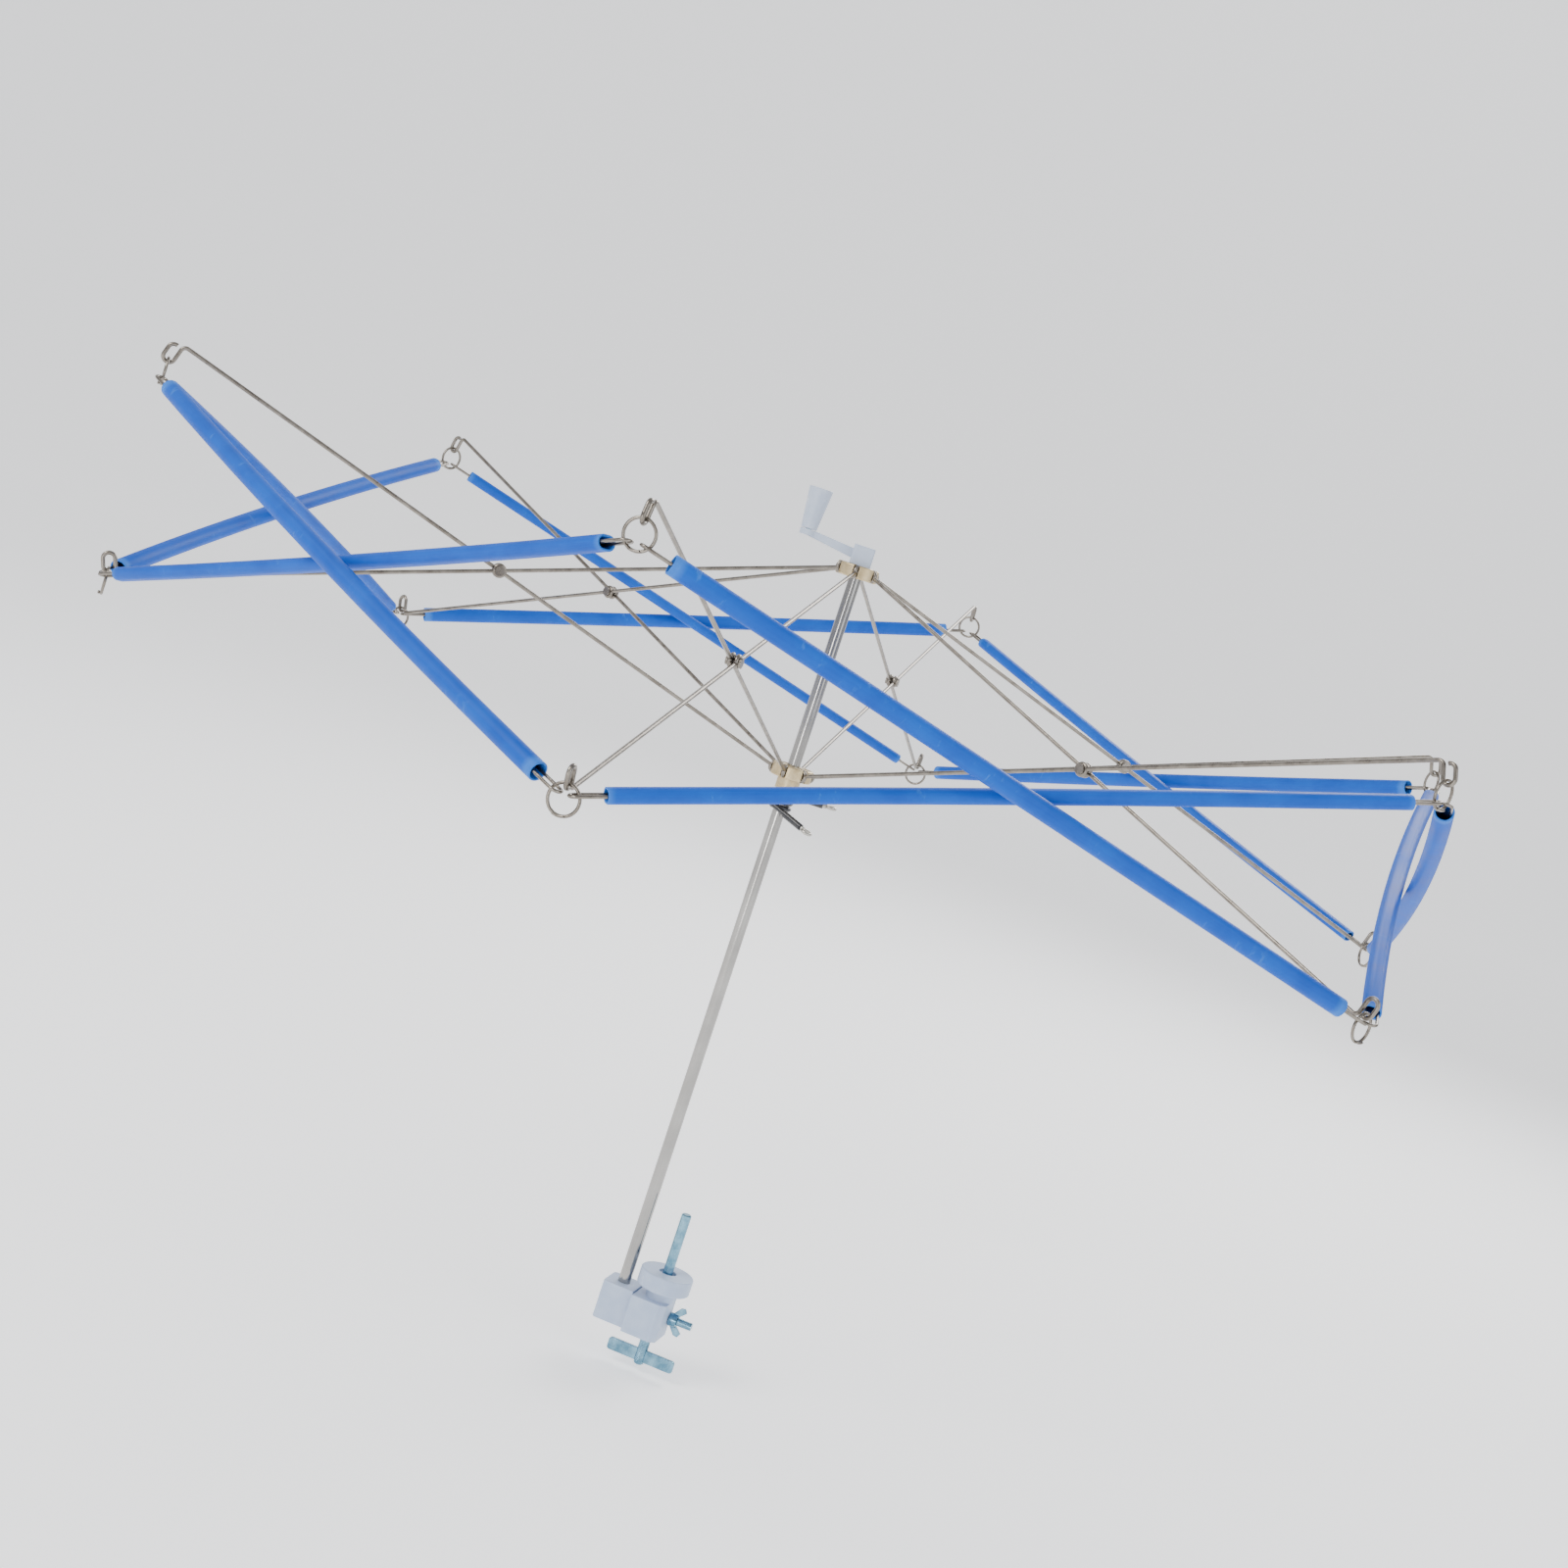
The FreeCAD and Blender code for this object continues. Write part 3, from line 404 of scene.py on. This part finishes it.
def makeFinish(name, values):
    material = bpy.data.materials.new(name)
    material.use_nodes = True
    tree = material.node_tree
    shader = tree.nodes["Principled BSDF"]
    shader.inputs["Metallic"].default_value = values["metallic"]
    shader.inputs["Specular IOR Level"].default_value = values["specular"]
    shader.inputs["Coat Weight"].default_value = values["coat"]
    shader.inputs["Coat Roughness"].default_value = 0.25
    if values["way"] == "Object":
        place = tree.nodes.new("ShaderNodeTexCoord").outputs["Object"]
    else:
        place = addNode(tree, "ShaderNodeAttribute", {"attribute_name": values["way"]}).outputs["Vector"]
    tone = useGroup(tree, "mottle", {"Scale": values["mottleScale"]})
    scuffs = useGroup(tree, "scuffs", {"Scale": values["markScale"], "Amount": values["markAmount"]})
    grain = useGroup(tree, "grain", {"Scale": values["grainScale"], "Stretch": values["stretch"]})
    for group in (tone, scuffs, grain):
        tree.links.new(place, group.inputs["Vector"])
    ends = {"A": colour(values["dark"]), "B": colour(values["light"])}
    body = addNode(tree, "ShaderNodeMix", {"data_type": "RGBA"}, ends)
    both = addNode(tree, "ShaderNodeMath", {"operation": "MULTIPLY_ADD"}, {1: 0.5})
    half = addNode(tree, "ShaderNodeMath", {"operation": "MULTIPLY"}, {1: 0.5})
    tree.links.new(tone.outputs["Tone"], both.inputs[0])
    tree.links.new(grain.outputs["Tone"], half.inputs[0])
    tree.links.new(half.outputs["Value"], both.inputs[2])
    tree.links.new(both.outputs["Value"], body.inputs["Factor"])
    marked = addNode(tree, "ShaderNodeMix", {"data_type": "RGBA"}, {"B": colour(values["mark"])})
    tree.links.new(body.outputs["Result"], marked.inputs["A"])
    tree.links.new(scuffs.outputs["Mask"], marked.inputs["Factor"])
    tree.links.new(marked.outputs["Result"], shader.inputs["Base Color"])
    rough = addNode(
        tree, "ShaderNodeMapRange",
        sockets={"To Min": values["roughLow"], "To Max": values["roughHigh"]},
    )
    tree.links.new(both.outputs["Value"], rough.inputs["Value"])
    tree.links.new(rough.outputs["Result"], shader.inputs["Roughness"])
    bump = addNode(
        tree, "ShaderNodeBump",
        sockets={"Strength": values["bump"], "Distance": values["bumpDistance"]},
    )
    tree.links.new(grain.outputs["Height"], bump.inputs["Height"])
    tree.links.new(bump.outputs["Normal"], shader.inputs["Normal"])
    return material


materials = {name: makeFinish(name, values) for name, values in finishes.items()}
finishOfSlot = {values["slot"]: name for name, values in finishes.items()}
slotOfNode = {row["node"]: row["material_slot"] for row in frame["record"]["subparts"]}


def dressNodes():
    for node, piece in frame["nodes"].items():
        material = materials[finishOfSlot[slotOfNode[node]]]
        if not piece.material_slots:
            piece.data.materials.append(material)
        for place in piece.material_slots:
            place.material = material


dressNodes()
print("materials made:", len(materials))


# piece helpers

def bodyOf(node):
    for body, members in frame["record"]["behaviour"]["bodies"].items():
        if node in members:
            return body


def finishPiece(name, bm, slotName, body, sharp=38.0, weighted=False):
    mesh = bpy.data.meshes.new(name)
    bm.to_mesh(mesh)
    bm.free()
    mesh.shade_smooth()
    mesh.set_sharp_from_angle(angle=math.radians(sharp))
    piece = bpy.data.objects.new(name, mesh)
    bpy.context.scene.collection.objects.link(piece)
    mesh.materials.append(materials[finishOfSlot[slotName]])
    if weighted:
        normals = piece.modifiers.new("evenFaces", "WEIGHTED_NORMAL")
        normals.keep_sharp = True
    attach(piece, body)
    return piece


def nodeCopy(node):
    bm = bmesh.new()
    bm.from_mesh(frame["nodes"][node].data)
    bmesh.ops.remove_doubles(bm, verts=bm.verts, dist=0.000002)
    return bm


def soften(node, radius, segments=3, flat=1.5, sharp=35.0):
    # the same solid with its hard edges rounded over
    bm = nodeCopy(node)
    bmesh.ops.dissolve_limit(bm, angle_limit=math.radians(flat), verts=bm.verts, edges=bm.edges)
    hard = [e for e in bm.edges if e.is_manifold and e.calc_face_angle(0) > math.radians(sharp)]
    bmesh.ops.bevel(
        bm, geom=hard, offset=radius, offset_type="OFFSET", affect="EDGES",
        segments=segments, profile=0.5, material=-1, clamp_overlap=True,
    )
    return bm


def replaceNode(node, bm, name, **more):
    piece = finishPiece(name, bm, slotOfNode[node], bodyOf(node), **more)
    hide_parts(node)
    return piece


# softened solids

softEdges = {
    "clamp_body": {"name": "clampBlock", "radius": 0.0007},
    "clamp_disc": {"name": "clampDisc", "radius": 0.0004},
    "shaft_holder": {"name": "mastHolder", "radius": 0.0006},
    "screw_wing": {"name": "screwWing", "radius": 0.0004},
    "wing_nut": {"name": "wingNut", "radius": 0.00035},
    "crank_arm": {"name": "crankArm", "radius": 0.0005},
    "crank_knob": {"name": "crankKnob", "radius": 0.0004},
    "crank_set_screw": {"name": "setScrew", "radius": 0.00015},
    "knob_pin": {"name": "knobPin", "radius": 0.0002},
}


def makeSoftened(values):
    for node, item in values.items():
        replaceNode(node, soften(node, item["radius"]), item["name"], weighted=True)


makeSoftened(softEdges)
print("softened solids made:", len(softEdges))

# rails: the sleeve's lines follow its length, whichever way the rail lies

sleeveValues = {
    "lip": 0.00028,  # rounding of the mouths
    "radius": 0.0043,
    "nearReach": 0.012,  # points this close to the farthest one are at the same end
    "farReach": 0.016,
    "paleFrom": 0.003,  # the vinyl is stretched pale this far from a mouth
    "pale": (0.05, 0.24, 0.70, 1.0),
    "paleAmount": 0.45,
}


def markAlong(mesh, values):
    # stores metres along the piece, and the way each point faces, so a pattern can follow it
    radius = values["radius"]
    points = [v.co.copy() for v in mesh.vertices]
    centre = sum(points, Vector()) / len(points)
    far = max(points, key=lambda p: (p - centre).length)
    ends = [p for p in points if (p - far).length < values["nearReach"]]
    others = [p for p in points if (p + far - 2 * centre).length < values["farReach"]]
    nearEnd = sum(ends, Vector()) / len(ends)
    farEnd = sum(others, Vector()) / len(others)
    along = (farEnd - nearEnd).normalized()
    across = along.cross(upward).normalized()
    above = across.cross(along)
    start = (nearEnd + farEnd) / 2
    held = mesh.attributes.new("alongRail", "FLOAT_VECTOR", "POINT")
    for index, vertex in enumerate(mesh.vertices):
        facing = vertex.normal
        place = ((vertex.co - start).dot(along), facing.dot(across) * radius, facing.dot(above) * radius)
        held.data[index].vector = place
    return (farEnd - nearEnd).length / 2


def makeSleeves(values):
    halves = []
    for number in range(1, pairCount + 1):
        for side in sideNames:
            node = f"rail_sleeve_{side}_{number}"
            bm = soften(node, values["lip"], segments=3, flat=0.2, sharp=60.0)
            bmesh.ops.triangulate(bm, faces=[f for f in bm.faces if len(f.verts) > 4])
            piece = replaceNode(node, bm, f"sleeve_{side}_{number}")
            halves.append(markAlong(piece.data, values))
    return min(halves)


def paleMouths(material, half, values):
    # the sleeve's ends are a little lighter, where the vinyl is stretched over the wire
    tree = material.node_tree
    shader = tree.nodes["Principled BSDF"]
    before = shader.inputs["Base Color"].links[0].from_socket
    place = addNode(tree, "ShaderNodeAttribute", {"attribute_name": "alongRail"})
    split = tree.nodes.new("ShaderNodeSeparateXYZ")
    size = addNode(tree, "ShaderNodeMath", {"operation": "ABSOLUTE"})
    fade = addNode(
        tree, "ShaderNodeMapRange",
        sockets={
            "From Min": half - values["paleFrom"],
            "From Max": half,
            "To Max": values["paleAmount"],
        },
    )
    pale = addNode(tree, "ShaderNodeMix", {"data_type": "RGBA"}, {"B": values["pale"]})
    tree.links.new(place.outputs["Vector"], split.inputs["Vector"])
    tree.links.new(split.outputs["X"], size.inputs[0])
    tree.links.new(size.outputs["Value"], fade.inputs["Value"])
    tree.links.new(fade.outputs["Result"], pale.inputs["Factor"])
    tree.links.new(before, pale.inputs["A"])
    tree.links.new(pale.outputs["Result"], shader.inputs["Base Color"])


paleMouths(materials["blueVinyl"], makeSleeves(sleeveValues), sleeveValues)
print("sleeves made")


# split rings: the free end of the wire, lying beside its own ring

splitValues = {
    "ringRadius": 0.0063,
    "wireRadius": 0.0006,
    "beside": 0.00125,  # out from the ring's own plane
    "reach": 46.0,  # degrees of overlap
    "turn": 0.0,  # middle of the overlap, from the ring's lowest point
    "lift": 0.0007,  # outside of the ring to its centre line
}


def makeSplitEnd(name, bottom, outward, values, body):
    # bottom is the lowest point of the ring's centre line, outward the ring's normal
    centre = bottom + upward * values["ringRadius"] + outward * values["beside"]
    bm = bmesh.new()
    made = bmesh.ops.create_circle(bm, cap_ends=True, segments=12, radius=values["wireRadius"])
    side = upward.cross(outward)
    frameTurn = Matrix((outward, upward, -side)).transposed().to_4x4()
    place = Matrix.Translation(centre - upward * values["ringRadius"]) @ frameTurn
    bmesh.ops.transform(bm, matrix=place, verts=made["verts"])
    start = Matrix.Rotation(math.radians(values["turn"] - values["reach"] / 2), 3, outward)
    bmesh.ops.rotate(bm, verts=bm.verts, cent=centre, matrix=start)
    bmesh.ops.spin(
        bm, geom=bm.verts[:] + bm.edges[:] + bm.faces[:], cent=centre, axis=outward,
        angle=math.radians(values["reach"]), steps=14,
    )
    rims = [e for e in bm.edges if len(e.link_faces) == 2 and e.calc_face_angle(0) > 1.2]
    bmesh.ops.bevel(
        bm, geom=rims, offset=values["wireRadius"] * 0.45, affect="EDGES",
        segments=3, profile=0.5, material=-1,
    )
    bmesh.ops.recalc_face_normals(bm, faces=bm.faces)
    finishPiece(name, bm, "wire_steel", body, sharp=50.0)


def lowestPoint(node, above=0.0005):
    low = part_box(node)[0].z
    points = [v.co for v in frame["nodes"][node].data.vertices if v.co.z < low + above]
    middleOf = sum(points, Vector()) / len(points)
    return Vector((middleOf.x, middleOf.y, low))


def makeSplitEnds(values):
    for number in range(1, pairCount + 1):
        for node in (f"rail_ring_{number}", f"lower_arm_{number}"):
            bottom = lowestPoint(node) + upward * values["lift"]
            outward = Vector((bottom.x - mastAxis.x, bottom.y - mastAxis.y, 0)).normalized()
            makeSplitEnd(node + "_splitEnd", bottom, outward, values, bodyOf(node))


makeSplitEnds(splitValues)
print("split ring ends made")


# threads: a ridge wound on each screw where it shows

threadValues = {
    "clampScrew": {
        "node": "clamp_screw", "axis": (0, 0, 1), "from": 0.0015, "length": 0.0175,
        "radius": 0.00265, "pitch": 0.0008, "proud": 0.00022, "sunk": 0.0002,
    },
    "tiltBolt": {
        "node": "tilt_bolt", "axis": (1, 0, 0), "from": 0.0008, "length": 0.0105,
        "radius": 0.0020, "pitch": 0.0007, "proud": 0.00020, "sunk": 0.0002,
    },
}


def makeThread(name, values):
    # starts just inside the screw's low or far end and winds towards the middle
    axis = Vector(values["axis"])
    low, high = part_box(values["node"])
    centre = (low + high) / 2
    if axis.z:
        start = Vector((centre.x, centre.y, low.z + values["from"]))
        aside = Vector((1, 0, 0))
    else:
        start = Vector((high.x - values["from"] - values["length"], centre.y, centre.z))
        aside = Vector((0, 0, 1))
    turns = values["length"] / values["pitch"]
    steps = round(turns * 20)
    half = values["pitch"] * 0.42
    bm = bmesh.new()
    corners = [
        bm.verts.new(start + aside * (values["radius"] - values["sunk"]) - axis * half),
        bm.verts.new(start + aside * (values["radius"] + values["proud"]) - axis * half * 0.2),
        bm.verts.new(start + aside * (values["radius"] + values["proud"]) + axis * half * 0.2),
        bm.verts.new(start + aside * (values["radius"] - values["sunk"]) + axis * half),
    ]
    face = bm.faces.new(corners)
    bmesh.ops.spin(
        bm, geom=[face] + face.edges[:] + face.verts[:], cent=start, axis=axis,
        dvec=axis * (values["length"] / steps), angle=math.radians(360) * turns, steps=steps,
    )
    bmesh.ops.recalc_face_normals(bm, faces=bm.faces)
    finishPiece(name + "Thread", bm, slotOfNode[values["node"]], bodyOf(values["node"]), sharp=60.0)


for name, values in threadValues.items():
    makeThread(name, values)
print("threads made")


# spring grip: dipped black, with its end loops left as bare wire

gripValues = {
    "dippedTo": 0.0207,  # from the mast's axis
    "fade": 0.0003,
    "wire": (0.42, 0.40, 0.36, 1.0),
}


def bareLoops(material, values):
    tree = material.node_tree
    shader = tree.nodes["Principled BSDF"]
    before = shader.inputs["Base Color"].links[0].from_socket
    place = tree.nodes.new("ShaderNodeTexCoord")
    centre = (mastAxis.x, mastAxis.y, 0)
    aside = addNode(tree, "ShaderNodeVectorMath", {"operation": "SUBTRACT"}, {1: centre})
    level = addNode(tree, "ShaderNodeVectorMath", {"operation": "MULTIPLY"}, {1: (1, 1, 0)})
    reach = addNode(tree, "ShaderNodeVectorMath", {"operation": "LENGTH"})
    bare = addNode(
        tree, "ShaderNodeMapRange",
        sockets={"From Min": values["dippedTo"], "From Max": values["dippedTo"] + values["fade"]},
    )
    paint = addNode(tree, "ShaderNodeMix", {"data_type": "RGBA"}, {"B": values["wire"]})
    tree.links.new(place.outputs["Object"], aside.inputs[0])
    tree.links.new(aside.outputs["Vector"], level.inputs[0])
    tree.links.new(level.outputs["Vector"], reach.inputs[0])
    tree.links.new(reach.outputs["Value"], bare.inputs["Value"])
    tree.links.new(bare.outputs["Result"], paint.inputs["Factor"])
    tree.links.new(before, paint.inputs["A"])
    tree.links.new(paint.outputs["Result"], shader.inputs["Base Color"])
    tree.links.new(bare.outputs["Result"], shader.inputs["Metallic"])


bareLoops(materials["dippedBlack"], gripValues)
print("grip ends bared")
